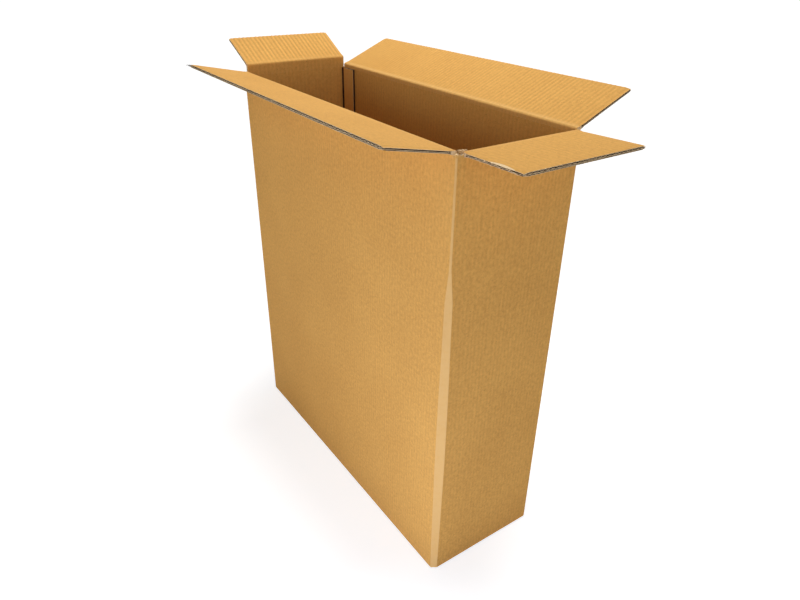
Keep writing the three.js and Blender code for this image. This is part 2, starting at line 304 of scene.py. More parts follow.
def node(tree, kind, links=(), **settings):
    made = tree.nodes.new(kind)
    for key, value in settings.items():
        setattr(made, key, value)
    for socket, source in dict(links).items():
        if isinstance(source, bpy.types.NodeSocket):
            tree.links.new(source, made.inputs[socket])
        else:
            made.inputs[socket].default_value = source
    return made


def maths(tree, operation, a, b=0.0):
    return node(tree, "ShaderNodeMath", {0: a, 1: b}, operation=operation).outputs[0]


FLOAT = "NodeSocketFloat"
wave_tree, WAVE = new_tree("wavy paper", [
    ("Length", FLOAT), ("Depth", FLOAT), ("Pitch", FLOAT), ("Start", FLOAT), ("Height", FLOAT),
    ("Thickness", FLOAT), ("Crush", FLOAT), ("Crush reach", FLOAT), ("Paper", "NodeSocketMaterial"),
])
given = wave_tree.nodes.new("NodeGroupInput").outputs
far_end = node(wave_tree, "ShaderNodeCombineXYZ", {"X": given["Length"]})
line = node(wave_tree, "GeometryNodeCurvePrimitiveLine", {"End": far_end.outputs[0]})
step = maths(wave_tree, "DIVIDE", given["Pitch"], 2.0 * PER_FLUTE)
cut_line = node(wave_tree, "GeometryNodeResampleCurve", {"Curve": line.outputs[0], "Length": step},
                mode="LENGTH")
position = node(wave_tree, "GeometryNodeInputPosition").outputs[0]
where = node(wave_tree, "ShaderNodeSeparateXYZ", {0: position})
from_start = maths(wave_tree, "ADD", where.outputs["X"], given["Start"])
turns = maths(wave_tree, "DIVIDE", from_start, given["Pitch"])
swing = maths(wave_tree, "COSINE", maths(wave_tree, "MULTIPLY", turns, 2 * math.pi))
to_end = maths(wave_tree, "MINIMUM", where.outputs["X"],
               maths(wave_tree, "SUBTRACT", given["Length"], where.outputs["X"]))
recovered = node(wave_tree, "ShaderNodeMapRange", {"Value": to_end, "From Max": given["Crush reach"]},
                 interpolation_type="SMOOTHSTEP").outputs["Result"]
crushed = maths(wave_tree, "MULTIPLY", given["Crush"], maths(wave_tree, "SUBTRACT", 1.0, recovered))
half_swing = maths(wave_tree, "MULTIPLY", maths(wave_tree, "SUBTRACT", given["Height"], crushed), 0.5)
lifted = node(wave_tree, "ShaderNodeCombineXYZ", {"Z": maths(wave_tree, "MULTIPLY", swing, half_swing)})
waved = node(wave_tree, "GeometryNodeSetPosition",
             {"Geometry": cut_line.outputs[0], "Offset": lifted.outputs[0]})
upright = node(wave_tree, "GeometryNodeSetCurveNormal", {0: waved.outputs[0]}, mode="Z_UP")
outline = node(wave_tree, "GeometryNodeCurvePrimitiveQuadrilateral",
               {"Width": given["Depth"], "Height": given["Thickness"]})
swept = node(wave_tree, "GeometryNodeCurveToMesh",
             {"Curve": upright.outputs[0], "Profile Curve": outline.outputs[0], "Fill Caps": True})
real = node(wave_tree, "GeometryNodeRealizeInstances", {0: swept.outputs[0]})
dressed = node(wave_tree, "GeometryNodeSetMaterial",
               {"Geometry": real.outputs[0], "Material": given["Paper"]})
wave_end = wave_tree.nodes.new("NodeGroupOutput")
wave_tree.links.new(dressed.outputs[0], wave_end.inputs[0])
print("wavy paper tree:", len(wave_tree.nodes), "nodes")


# %% Turning a tree into a plain mesh
def through_tree(obj, tree, keys, values):
    """Runs a node tree on an object and returns the result as a plain mesh."""
    bpy.context.scene.collection.objects.link(obj)
    modifier = obj.modifiers.new(tree.name, "NODES")
    modifier.node_group = tree
    for label, value in values.items():
        modifier[keys[label]] = value
    evaluated = obj.evaluated_get(bpy.context.evaluated_depsgraph_get())
    made = bpy.data.meshes.new_from_object(evaluated)
    obj.modifiers.remove(modifier)
    bpy.context.scene.collection.objects.unlink(obj)
    return made


def add_flutes(board, matrix, length, depth, pitch, start, height, splay, ease):
    """Adds one wavy paper. The matrix takes its length, depth and height to the flap. At the free edge,
    where the board is pressed, the paper is lower by END_PINCH and shifted by ease."""
    holder = bpy.data.objects.new("wave", bpy.data.meshes.new("wave"))
    sizes = {"Length": length, "Depth": depth, "Pitch": pitch, "Start": start,
             "Height": height - FLUTE_PAPER, "Thickness": FLUTE_PAPER,
             "Crush": PINCH, "Crush reach": PINCH_REACH}
    made = through_tree(holder, wave_tree, WAVE, {key: value * MM for key, value in sizes.items()})
    first = len(board.points)
    for vertex in made.vertices:
        at = vertex.co.copy()
        share = 0.5 + at.y / (depth * MM)
        at.x = splayed(at.x / MM, 0.0, length, splay, share) * MM
        at.z *= 1 - share * END_PINCH / height
        at.z += share * ease * MM
        board.point(matrix @ at)
    for polygon in made.polygons:
        at_cut = abs(polygon.normal.y) > 0.9
        board.face(tuple(first + i for i in polygon.vertices), CUT if at_cut else FLUTES_AND_SHADE)
    return len(made.polygons)


# %% [markdown]
# ## Torn paper
#
# One side of the right flap is ragged, and the corner beside it is frayed: small pale flakes of paper
# stand out of the edge. They repeat with small differences, so a second tree scatters them along a line
# with a fixed seed. Each is a flattened round of twenty faces, as there are many of them. The same tree
# with dark paper makes the crushed tip of the front flap.

# %% A node tree for torn flakes
flake_tree, TEAR = new_tree("torn flakes", [
    ("Length", FLOAT), ("Count", "NodeSocketInt"), ("Size", FLOAT), ("Seed", "NodeSocketInt"),
    ("Paper", "NodeSocketMaterial"),
])


def random_value(tree, low, high, seed, extra):
    """A different vector for every point, always the same for one seed."""
    shifted = maths(tree, "ADD", seed, extra)
    made = node(tree, "FunctionNodeRandomValue", data_type="FLOAT_VECTOR")
    made.inputs[0].default_value = low
    made.inputs[1].default_value = high
    tree.links.new(shifted, made.inputs["Seed"])
    return made.outputs[0]


given = flake_tree.nodes.new("NodeGroupInput").outputs
ray_end = node(flake_tree, "ShaderNodeCombineXYZ", {"X": given["Length"]})
edge_line = node(flake_tree, "GeometryNodeMeshLine",
                 {"Count": given["Count"], "Offset": ray_end.outputs[0]}, mode="END_POINTS")
scatter = random_value(flake_tree, (-1.0, -0.22, -0.45), (1.0, 0.22, 0.45), given["Seed"], 1)
scatter = node(flake_tree, "ShaderNodeVectorMath", {0: scatter, "Scale": given["Size"]}, operation="SCALE")
loose = node(flake_tree, "GeometryNodeSetPosition",
             {"Geometry": edge_line.outputs[0], "Offset": scatter.outputs[0]})
flake = node(flake_tree, "GeometryNodeMeshIcoSphere", {"Radius": given["Size"], "Subdivisions": 1})
turned = random_value(flake_tree, (-0.35, -0.3, -0.35), (0.35, 0.3, 0.35), given["Seed"], 2)
sized = random_value(flake_tree, (0.25, 0.05, 0.03), (0.8, 0.12, 0.07), given["Seed"], 3)
placed = node(flake_tree, "GeometryNodeInstanceOnPoints", {
    "Points": loose.outputs[0], "Instance": flake.outputs[0], "Rotation": turned, "Scale": sized})
whole = node(flake_tree, "GeometryNodeRealizeInstances", {0: placed.outputs[0]})
tinted = node(flake_tree, "GeometryNodeSetMaterial",
              {"Geometry": whole.outputs[0], "Material": given["Paper"]})
flake_end = flake_tree.nodes.new("NodeGroupOutput")
flake_tree.links.new(tinted.outputs[0], flake_end.inputs[0])
print("torn flakes tree:", len(flake_tree.nodes), "nodes")


def add_flakes(board, matrix, length, count, size, seed, finish, drift=0.0):
    """Adds torn flakes along the matrix's X axis. drift is how far the line leans sideways at its end."""
    holder = bpy.data.objects.new("flakes", bpy.data.meshes.new("flakes"))
    made = through_tree(holder, flake_tree, TEAR,
                        {"Length": length * MM, "Count": count, "Size": size * MM, "Seed": seed})
    first = len(board.points)
    for vertex in made.vertices:
        at = vertex.co.copy()
        at.y += drift * at.x / length
        board.point(matrix @ at, wear_and_highlight=0.8 if finish == CUT else 0.0)
    for polygon in made.polygons:
        board.face(tuple(first + i for i in polygon.vertices), finish)
    return len(made.polygons)


# %% [markdown]
# ## A flap with its fold
#
# A top flap is the same sheet as its wall. The mesh of each flap starts on the wall, where the slots end,
# goes up over the fold and out to the free edge, so the fold is unbroken. The inner paper bends round in
# an arc, the outer paper is pressed into a corner under it, and between them the flutes are crushed flat.

# %% The two faces of a flap, as paths
def flap_section(flap, r, n):
    """From along the flap and across it to out of the box and up."""
    tilt = math.radians(flap["tilt"])
    return (r * math.cos(tilt) - n * math.sin(tilt), flap["score"] + r * math.sin(tilt) + n * math.cos(tilt))


def flap_axes(flap):
    """Along the fold, towards the free edge, and off the inner face."""
    outward, up, along, _ = wall_axes(flap["out"])
    tilt = math.radians(flap["tilt"])
    free = outward * math.cos(tilt) + up * math.sin(tilt)
    off = up * math.cos(tilt) - outward * math.sin(tilt)
    return along, free, off


def axes_at(x_axis, y_axis, z_axis, at):
    """The matrix that takes X, Y and Z to these axes at this place."""
    matrix = Matrix((x_axis, y_axis, z_axis)).transposed().to_4x4()
    matrix.translation = at
    return matrix


def face_corner(flap, s, n):
    """Where the wall's face at s meets the flap's face at n."""
    tilt = math.radians(flap["tilt"])
    r = (s + n * math.sin(tilt)) / math.cos(tilt)
    return r, flap_section(flap, r, n)


def face_path(flap, s, n, leg, steps):
    """Up the wall, round the fold and along the flap, with each point's distance past the fold."""
    r, corner = face_corner(flap, s, n)
    foot = (s, corner[1] - leg)
    path = [(s, z) for z in spread(SLOT_FLOOR, foot[1], 3.0)]
    past = [0.0] * len(path)
    tip = flap_section(flap, r + leg, n)
    for i in range(1, steps):
        t = i / steps
        path.append(tuple((1 - t) ** 2 * a + 2 * t * (1 - t) * b + t * t * c
                          for a, b, c in zip(foot, corner, tip)))
        past.append(0.0)
    for value in [r + leg, r + leg + 1.5, ROOT + 0.5, *spread(ROOT + 4, flap["reach"] - 5, 10.0),
                  flap["reach"] - 2.5, flap["reach"]]:
        pressed = END_PINCH * smooth((value - flap["reach"] + END_REACH) / END_REACH)
        path.append(flap_section(flap, value, n - pressed if n > 0 else n + pressed))
        past.append(value - r)
    return path, past


def flake_matrix(flap, u, r, n):
    """Axes at a place on a flap: X towards its free edge, Z off its inner face."""
    _, free, off = flap_axes(flap)
    s, z = flap_section(flap, r, n)
    return axes_at(free, off.cross(free), off, wall_point(flap["out"], s, z, u))


def torn_strip(board, flap, u, splay, r0, r1):
    """A sliver torn loose from the inner paper along the flap's cut side, thin at both ends."""
    rings = []
    steps = 8
    for i in range(steps + 1):
        r = r0 + (r1 - r0) * i / steps
        full = math.sin(math.pi * (0.06 + 0.88 * i / steps))
        at = u + splay * r / flap["reach"]
        top = flap["inner"] - 0.9 + 0.9 * full
        corners = [(at - 2.6 * full, top), (at + 1.5 * full, top - 0.5 * full),
                   (at + 1.5 * full, top - 0.5 - 0.5 * full), (at - 2.6 * full, top - 0.5)]
        ring = []
        for v, n in corners:
            s, z = flap_section(flap, r, n)
            ring.append(board.point(wall_point(flap["out"], s, z, v), wear_and_highlight=0.9))
        rings.append(ring + ring[:1])
    board.grid(rings, CUT)
    board.face(tuple(rings[0][:4]), CUT)
    board.face(tuple(reversed(rings[-1][:4])), CUT)


FOLD_RIDGE = 0.3           # share of the washboard that is left in the middle of a fold
RIDGE_RUN = 18.0           # a flap's washboard has its full height this far past its fold
HIGHLIGHT_AT = 2.0              # the painted highlight band lies this far past the fold
HIGHLIGHT_REACH = 5.0
CORE_LAP = 0.4             # the wavy papers start this far inside the crushed board
END_SETBACK = 0.25         # and stop this far short of the free edge


def flap_board(side):
    flap = FLAPS[side]
    out = flap["out"]
    inner = flap["inner"]
    outer = BOARD - inner
    along, free, off = flap_axes(flap)
    low, high = flap["span"]
    splay = flap["splay"]
    if along.x + along.y < 0:
        low, high = -high, -low
        splay = splay[::-1]
    board = Board()

    def strengths(past):
        return [FOLD_RIDGE + (1 - FOLD_RIDGE) * abs(1 - p) if p < 1
                else 1 + (RIDGES[side] - 1) * smooth(p / RIDGE_RUN) for p in past]

    # A painted highlight in a band beside the fold, and a weaker one on the wall below it
    def wears_and_highlights(past):
        return [CREASE_HIGHLIGHT[side] * (1 - smooth(abs(p - HIGHLIGHT_AT) / HIGHLIGHT_REACH)) if p > 0
                else 0.4 * CREASE_HIGHLIGHT[side] for p in past]

    def pinches(past):
        return [smooth((p - 2.0) / 6.0) for p in past]

    def shares(past):
        return [p / flap["reach"] for p in past]

    def fold_rows(past):
        return sum(p < ROOT for p in past)

    top, past = face_path(flap, -HALF_BOARD, inner, FOLD_LEG, 7)
    paper(board, out, top, PAPER, spread(low, high, WIDE_PITCH / PER_FLUTE), 1, WIDE_PITCH, INSIDE,
          strengths(past), wears_and_highlights(past), pinches(past), splay, shares(past), fold_rows(past))
    under, past_under = face_path(flap, HALF_BOARD, -outer, SHARP_LEG, 2)
    paper(board, out, under, PAPER, spread(low, high, NARROW_PITCH / PER_FLUTE), -1, NARROW_PITCH, OUTSIDE,
          [FOLD_RIDGE if p < 1 else 1.0 for p in past_under], None, pinches(past_under), splay,
          shares(past_under), fold_rows(past_under))

    # Crushed board fills the fold, up to the first open stretch of the flutes.
    fill_top, _ = face_path(flap, -HALF_BOARD + PAPER, inner - PAPER, FOLD_LEG, 4)
    fill_under, _ = face_path(flap, HALF_BOARD - PAPER, -outer + PAPER, SHARP_LEG, 2)
    end_top = flap_section(flap, ROOT, inner - PAPER)
    end_under = flap_section(flap, ROOT, -outer + PAPER)
    core = [p for p in fill_top if p[0] < end_top[0] - 0.5] + [end_top, end_under]
    core += [p for p in reversed(fill_under) if p[0] < end_under[0] - 0.5]
    ends = [[board.point(wall_point(out, s, z, u)) for s, z in core] for u in (low + 0.2, high - 0.2)]
    board.face(tuple(ends[0]), CUT)
    board.face(tuple(reversed(ends[1])), CUT)
    count = len(core)
    for i in range(count):
        k = (i + 1) % count
        board.face((ends[0][k], ends[0][i], ends[1][i], ends[1][k]), OUTSIDE)

    # The middle paper and the two wavy ones run from the crushed board to the free edge.
    open_height = BOARD - 3 * PAPER
    narrow = open_height * NARROW_SHARE
    wide = open_height - narrow
    middle_top = -outer + 2 * PAPER + narrow
    middle = [flap_section(flap, r, middle_top) for r in (ROOT - CORE_LAP, flap["reach"] - 0.1)]
    paper(board, out, middle, PAPER, [low + 0.1, high - 0.1], 1, WIDE_PITCH, FLUTES_AND_SHADE, [0.0, 0.0], None,
          [0.0, 0.0], splay, [ROOT / flap["reach"], 1.0])
    flutes = 0
    r_mid = (ROOT - CORE_LAP + flap["reach"] - END_SETBACK) / 2
    depth = flap["reach"] - END_SETBACK - ROOT + CORE_LAP
    for centre, height, pitch, ease in ((-outer + PAPER + narrow / 2, narrow, NARROW_PITCH, END_PINCH / 2),
                                        (inner - PAPER - wide / 2, wide, WIDE_PITCH, -END_PINCH / 2)):
        s, z = flap_section(flap, r_mid, centre)
        matrix = axes_at(along, free, off, wall_point(out, s, z, low))
        flutes += add_flutes(board, matrix, high - low, depth, pitch, low, height, splay, ease)
    if side == "right":
        matrix = flake_matrix(flap, high + 0.4, ROOT + 2, inner - 2.7)
        add_flakes(board, matrix, flap["reach"] - ROOT - 9, 70, 3.8, 11, CUT, -splay[1])
        torn_strip(board, flap, high, splay[1], 46.0, 86.0)
    if side == "front":
        matrix = flake_matrix(flap, high, flap["reach"] - 3, inner - 2.5)
        add_flakes(board, matrix, 7.0, 60, 2.6, 31, FLUTES_AND_SHADE)
    print(f"{side} flap: {len(board.faces)} faces, {flutes} of them on the wavy papers")
    return board


flap_boards = {side: flap_board(side) for side in FLAPS}

# %% [markdown]
# ## The walls and the floor
#
# Up to the slots the four walls are one closed ring. Its section is a loop that goes up the outside, over
# the cut top and down the inside, and every point of the loop is an outline of the carton at that height.
# The corners are flattened to a narrow strip, as they are on a box that was folded along its scores. The
# strip at the near corner gets wider low down, where the box has been pressed.

# %% Outlines of the carton
# The width of the near corner's strip at some heights
NEAR_STRIP = [(0, 10.3), (85, 11.7), (225, 13.7), (341, 12.7), (443, 10.4), (491, 9.7), (538, 2.6),
              (682, 1.8)]
CORNER_STRIP = 6.0
CREASE = 0.6               # the smallest strip inside, where a corner is folded sharply
SKIN = 3.0                 # thickness of the board where a corner is pressed flat
END_LIFT = 2.0             # the end walls stand this far off the floor
SEAM_DEPTH = 3.2           # notch outside, beside the cut edge that is glued to the tab
SEAM_OPENING = 5.5
END_COLUMNS = round(2 * HALF_W / NARROW_PITCH * PER_FLUTE)
LONG_COLUMNS = round(2 * HALF_L / NARROW_PITCH * PER_FLUTE)


def near_strip(z):
    for (z0, w0), (z1, w1) in zip(NEAR_STRIP, NEAR_STRIP[1:]):
        if z <= z1:
            return w0 + (w1 - w0) * max(0.0, z - z0) / (z1 - z0)
    return NEAR_STRIP[-1][1]


def run(a, b, count):
    """Points from a to b in even steps."""
    return [(a[0] + (b[0] - a[0]) * i / count, a[1] + (b[1] - a[1]) * i / count) for i in range(count + 1)]


def outline(z, inset, inside):
    """Points all round the carton at height z, each with its place along its wall and its mark for wear and
    painted highlight.
    """
    near = near_strip(z) / math.sqrt(2)
    leg = CORNER_STRIP / math.sqrt(2)
    hx, hy = HALF_L - inset, HALF_W - inset
    if inside:
        hx, hy = INNER_L, INNER_W
        near, leg = (max(CREASE, w + SKIN * math.sqrt(2) - 2 * BOARD) for w in (near, leg))
    right = run((hx, -hy + near), (hx, hy - leg), END_COLUMNS)
    if inside:
        back = run((hx - leg, hy), (-hx + CREASE, hy), LONG_COLUMNS)
        seam = run((-hx + CREASE, hy), (-hx, hy - CREASE), 4)[1:4]
        left = run((-hx, hy - CREASE), (-hx, -hy + leg), END_COLUMNS)
    else:
        back = run((hx - leg, hy), (-hx, hy), LONG_COLUMNS)
        seam = [(-hx, INNER_W), (-hx + SEAM_DEPTH, INNER_W), (-hx + SEAM_DEPTH, INNER_W - 0.3)]
        left = run((-hx, INNER_W - SEAM_OPENING), (-hx, -hy + leg), END_COLUMNS)
    front = run((-hx + leg, -hy), (hx - near, -hy), LONG_COLUMNS)
    found = []
    for wall, points in (("y", right), ("x", back), ("", seam), ("y", left), ("x", front)):
        for i, (x, y) in enumerate(points):
            along = x if wall == "x" else y
            half = {"x": HALF_L, "y": HALF_W, "": 1.0}[wall]
            at_corner = i in (0, len(points) - 1)
            lift = 0.0 if not wall or at_corner else panel_lift(half, along)
            low = END_LIFT if wall == "y" else 0.0
            found.append((x, y, along, lift, 1.0 if at_corner and wall else 0.0, low))
    return found


# %% The ring of walls
FLOOR_EDGE = 1.8           # the rounding at the folds under the box
FOOT = 12.0                # below this height the washboard fades and the end walls are lifted


def ring_rows():
    """The loop of the section: height, inset, whether it is inside, and its share of the washboard."""
    bends = {z for z, _ in NEAR_STRIP if FOOT < z < SLOT_FLOOR}
    heights = sorted(bends | set(range(60, 660, 60)) | {SLOT_FLOOR})
    outside = [(0.0, FLOOR_EDGE, False, 0.0), (0.55, 0.55, False, 0.0), (FLOOR_EDGE, 0.0, False, 0.3),
               (FOOT, 0.0, False, 1.0)]
    outside += [(z, 0.0, False, 1.0) for z in heights]
    inside = [(z, 0.0, True, 1.0) for z in reversed(heights)] + [(1.0, 0.0, True, 1.0)]
    return outside, inside


def add_walls(board):
    outside, inside = ring_rows()
    rows = []
    for z, inset, within, share in outside + inside:
        side_shift = 0.0 if within else 0.5
        pitch = WIDE_PITCH if within else NARROW_PITCH
        row = []
        for x, y, along, lift, corner, low in outline(z, inset, within):
            raised = z + low * max(0.0, 1 - z / FOOT)
            # The outer corners are painted lighter: worn board, and a painted highlight where the folded
            # corner catches light
            wear_and_highlight = corner * (0.0 if within else 1.0)
            lift *= share * flute_luck(along, pitch)
            row.append(board.point(place(x, y, raised), along / pitch + side_shift, lift, 1.0, wear_and_highlight))
        rows.append(row)
    finishes = [OUTSIDE] * (len(outside) - 1) + [CUT] + [INSIDE] * (len(inside) - 1) + [CUT]
    for k, finish in enumerate(finishes):
        low_row = rows[k]
        high_row = rows[(k + 1) % len(rows)]
        board.grid([low_row + low_row[:1], high_row + high_row[:1]], finish)
    return len(rows), len(rows[0])


carton = Board()
ring_size = add_walls(carton)
print("ring of walls:", ring_size[0], "rows of", ring_size[1], "points")

# %% [markdown]
# ## Bottom flaps and glue tab
#
# The bottom is closed: two long flaps meet at a seam along the middle, and two short ones lie on them
# inside. The tab that closes the sheet into a tube turns in from the left wall and is glued to the inside
# of the back wall. All of these are flat panels, so the function that drew the flaps' papers draws their
# faces as well. Plain blocks, dark with painted shade, stand for the tab's own board behind its face, and
# a dark strip of painted shade stands in the open fold beside the tab.

# %% Bottom flaps and tab
SEAM_HALF = 0.6
BOTTOM_REACH = 99.3
TAB_WIDTH = 40.0
TAB_BOARD = 4.4            # the tab is pressed thinner than the walls
TAB_LOW = 2 * BOARD + 6.0
TAB_GROOVE = 1.0           # the tab's board ends this far behind the edge of its face
TAB_GAP = 6.0              # open fold between the left wall and the tab

for out in ((0, -1), (0, 1)):
    middle = wall_axes(out)[3]
    path = [(s, BOARD) for s in spread(-middle + SEAM_HALF, HALF_BOARD - FLOOR_EDGE, 20.0)]
    paper(carton, out, path, BOARD, spread(-290.0, 290.0, WIDE_PITCH / PER_FLUTE), 1, WIDE_PITCH, INSIDE)
for out in ((1, 0), (-1, 0)):
    path = [(s, 2 * BOARD + 0.1) for s in spread(-BOTTOM_REACH, -HALF_BOARD + 0.3, 20.0)]
    columns = spread(-INNER_W + 0.2, INNER_W - 0.2, WIDE_PITCH / PER_FLUTE)
    paper(carton, out, path, BOARD, columns, 1, WIDE_PITCH, INSIDE)

tab_face = -HALF_BOARD - TAB_BOARD
tab_end = -INNER_L + TAB_WIDTH
tab_start = -INNER_L + TAB_GAP
tab_path = [(tab_face, z) for z in spread(TAB_LOW, SLOT_FLOOR - 0.3, 60.0)]
# The tab's face is painted a little lighter
paper(carton, (0, 1), tab_path, PAPER, spread(tab_start, tab_end, WIDE_PITCH / PER_FLUTE), 1,
      WIDE_PITCH, INSIDE, None, [0.25] * len(tab_path))


def tab_shade_block(low, high, s0, s1, u0, u1):
    """An upright block at the back wall, dark with painted shade, from s0 to s1 off its middle and from u0
    to u1 along it.
    """
    ring = [(s0, u0), (s1, u0), (s1, u1), (s0, u1)]
    carton.block([wall_point((0, 1), s, z, u) for z in (low, high) for s, u in ring], FLUTES_AND_SHADE)


# The tab's flutes, and its middle paper, which comes further out between them, dark with painted shade
low = TAB_LOW + 0.1
high = SLOT_FLOOR - 0.4
tab_shade_block(low, high, tab_face + PAPER, -HALF_BOARD, tab_start + 0.1, tab_end - TAB_GROOVE)
tab_shade_block(low, high, -HALF_BOARD - 2.2, -HALF_BOARD - 1.75, tab_start + 0.1, tab_end - 0.1)
# A dark strip of painted shade stands in the open fold beside the tab.
tab_shade_block(TAB_LOW, SLOT_FLOOR - 0.5, tab_face - 0.3, -HALF_BOARD - 0.05, -INNER_L + 0.02, -INNER_L + 0.5)

# %% [markdown]
# ## The torn corner
#
# Between two flaps the slot leaves a bit of folded board standing at the corner. It is the walls' own
# board, so it is drawn as an upright strip with the corner's outline, and its top is torn: each point of
# the outline ends at a height of its own, from a fixed seed.

# %% A bit of board left standing in each slot
TEAR_STEP = 1.1


def corner_post(board, corner_x, corner_y, cut, x_gap, y_gap, height, seed):
    """An L of board at a corner, from the slot's floor up to a torn top."""
    sx, sy = math.copysign(1, corner_x), math.copysign(1, corner_y)
    outer = [(x_gap, 0.0), (cut, 0.0), (0.0, cut), (0.0, y_gap)]
    inner = [(BOARD, y_gap), (BOARD, BOARD), (x_gap, BOARD)]
    ring = []
    chance = random.Random(seed)
    for a, b in zip(outer + inner, outer[1:] + inner + outer[:1]):
        count = max(1, round(math.dist(a, b) / TEAR_STEP))
        ring += [(a[0] + (b[0] - a[0]) * i / count, a[1] + (b[1] - a[1]) * i / count) for i in range(count)]
    if sx * sy > 0:
        ring.reverse()
    places = [(corner_x - sx * x, corner_y - sy * y) for x, y in ring]
    foot = [board.point(place(x, y, SLOT_FLOOR - 0.5)) for x, y in places]
    crown = [board.point(place(x + chance.uniform(-0.3, 0.3), y + chance.uniform(-0.3, 0.3),
                               SLOT_FLOOR + height * chance.uniform(0.55, 1.0)), wear_and_highlight=0.6)
             for x, y in places]
    count = len(ring)
    for i in range(count):
        k = (i + 1) % count
        board.face((foot[i], foot[k], crown[k], crown[i]), OUTSIDE)
    board.face(tuple(crown), CUT)
    board.face(tuple(reversed(foot)), CUT)


corner_post(carton, HALF_L, -HALF_W, 2.1, 6.1, 10.6, 4.6, 3)
tuft = Matrix.Translation(place(HALF_L - 4.0, -HALF_W + 9.0, SLOT_FLOOR + 6.4))
add_flakes(carton, tuft @ Matrix.Rotation(math.radians(80), 4, "Z"), 3.6, 44, 4.4, 21, CUT)
corner_post(carton, HALF_L, HALF_W, 4.2, 6.1, 6.6, 1.4, 5)
corner_post(carton, -HALF_L, -HALF_W, 4.2, 6.1, 5.4, 1.2, 7)
print("carton:", len(carton.faces), "faces")

# %% [markdown]
# ## Kraft paper
#
# Brown kraft is unbleached wood fibre. It is dull, and its colour drifts slowly over a sheet, with fine
# fibres and dark flecks on top. Nothing is drawn on it, so a few layers of noise on Object coordinates are
# enough, and they run on unbroken from a wall to its flap. The ridge mark, left by the washboard tree,
# darkens the valleys a little. The wear mark lightens torn and rubbed paper, and lays a painted highlight
# beside each fold and on the outer corners. The outside and the inside differ a little, the wavy papers
# are dark with painted shade, and cut edges are pale.

# %% Shader helpers
def noise(tree, coordinate, scale, detail=2.0, roughness=0.5, stretch=None):
    source = coordinate
    if stretch:
        source = node(tree, "ShaderNodeMapping", {"Vector": coordinate, "Scale": stretch}).outputs[0]
    return node(tree, "ShaderNodeTexNoise", {"Vector": source, "Scale": scale, "Detail": detail,
                                             "Roughness": roughness}).outputs["Fac"]


def band(tree, value, low, high, to_low=0.0, to_high=1.0):
    return node(tree, "ShaderNodeMapRange", {"Value": value, "From Min": low, "From Max": high,
                                             "To Min": to_low, "To Max": to_high}).outputs["Result"]


def mix(tree, share, a, b, blend="MIX"):
    made = node(tree, "ShaderNodeMix", data_type="RGBA", blend_type=blend)
    for socket, source in ((0, share), (6, a), (7, b)):
        if isinstance(source, bpy.types.NodeSocket):
            tree.links.new(source, made.inputs[socket])
        else:
            made.inputs[socket].default_value = source
    return made.outputs[2]


def linear(red, green, blue):
    """A screen colour from 0 to 255 as the linear values that a shader takes."""
    values = [c / 255 for c in (red, green, blue)]
    return tuple(c / 12.92 if c <= 0.04045 else ((c + 0.055) / 1.055) ** 2.4 for c in values) + (1.0,)


# %% Kraft materials
def kraft(name, light, dark, worn_and_highlight, fleck, ridge_shade=0.03):
    """Paper between a light and a dark colour, with one colour for wear and painted highlights and one for
    flecks.
    """
    material = bpy.data.materials.new(name)
    material.use_nodes = True
    tree = material.node_tree
    tree.nodes.clear()
    at = node(tree, "ShaderNodeTexCoord").outputs["Object"]
    drift = band(tree, noise(tree, at, 7.0, 3.0), 0.3, 0.7)
    cloud = band(tree, noise(tree, at, 190.0, 3.0, 0.65), 0.36, 0.64)
    streak = band(tree, noise(tree, at, 330.0, 2.0, 0.6, (1.0, 1.0, 0.8)), 0.33, 0.67)
    fibre = noise(tree, at, 900.0, 2.0, 0.7)
    share = maths(tree, "ADD", maths(tree, "MULTIPLY", drift, 0.25), maths(tree, "MULTIPLY", cloud, 0.45))
    share = maths(tree, "ADD", share, maths(tree, "MULTIPLY", streak, 0.3))
    colour = mix(tree, share, dark, light)
    grain = band(tree, fibre, 0.3, 0.7, 0.93, 1.07)
    ridge = node(tree, "ShaderNodeAttribute", attribute_name="ridge").outputs["Fac"]
    shade = maths(tree, "ADD", maths(tree, "MULTIPLY", ridge, ridge_shade), grain)
    both = node(tree, "ShaderNodeCombineXYZ", {"X": shade, "Y": shade, "Z": shade}).outputs[0]
    colour = mix(tree, 1.0, colour, both, "MULTIPLY")
    flecks = band(tree, noise(tree, at, 430.0, 1.0), 0.69, 0.76, 0.0, 0.55)
    colour = mix(tree, flecks, colour, fleck)
    # The wear mark lightens torn and rubbed paper, and also lays a painted highlight beside the folds and on
    # the outer corners
    wear_and_highlight = node(tree, "ShaderNodeAttribute", attribute_name="wear_and_highlight").outputs["Fac"]
    rubbed_and_highlight = maths(tree, "MULTIPLY", wear_and_highlight, band(tree, noise(tree, at, 120.0, 3.0), 0.3, 0.6, 0.75, 1.0))
    colour = mix(tree, rubbed_and_highlight, colour, worn_and_highlight)
    bump = node(tree, "ShaderNodeBump", {"Strength": 0.22, "Distance": 0.0002, "Height": fibre})
    shader = node(tree, "ShaderNodeBsdfPrincipled", {
        "Base Color": colour, "Roughness": band(tree, cloud, 0.0, 1.0, 0.82, 0.94),
        "Specular IOR Level": 0.22, "Normal": bump.outputs[0],
    })
    end = tree.nodes.new("ShaderNodeOutputMaterial")
    tree.links.new(shader.outputs[0], end.inputs["Surface"])
    print("material", name, "with", len(tree.nodes), "nodes")
    return material


PAPERS = [
    kraft("kraft_outside", linear(230, 174, 90), linear(199, 144, 69), linear(220, 174, 106),
          linear(150, 102, 50)),
    kraft("kraft_inside", linear(231, 177, 96), linear(210, 155, 79), linear(246, 202, 132),
          linear(156, 106, 54)),
    # The wavy papers' own darker kraft, darkened further with painted shade for the gaps between the flutes
    kraft("flute_paper_and_shade", linear(84, 57, 36), linear(62, 41, 26), linear(110, 80, 52),
          linear(50, 33, 22), 0.0),
    kraft("cut_edge", linear(250, 222, 176), linear(212, 178, 132), linear(242, 212, 164),
          linear(110, 80, 50), 0.0),
]

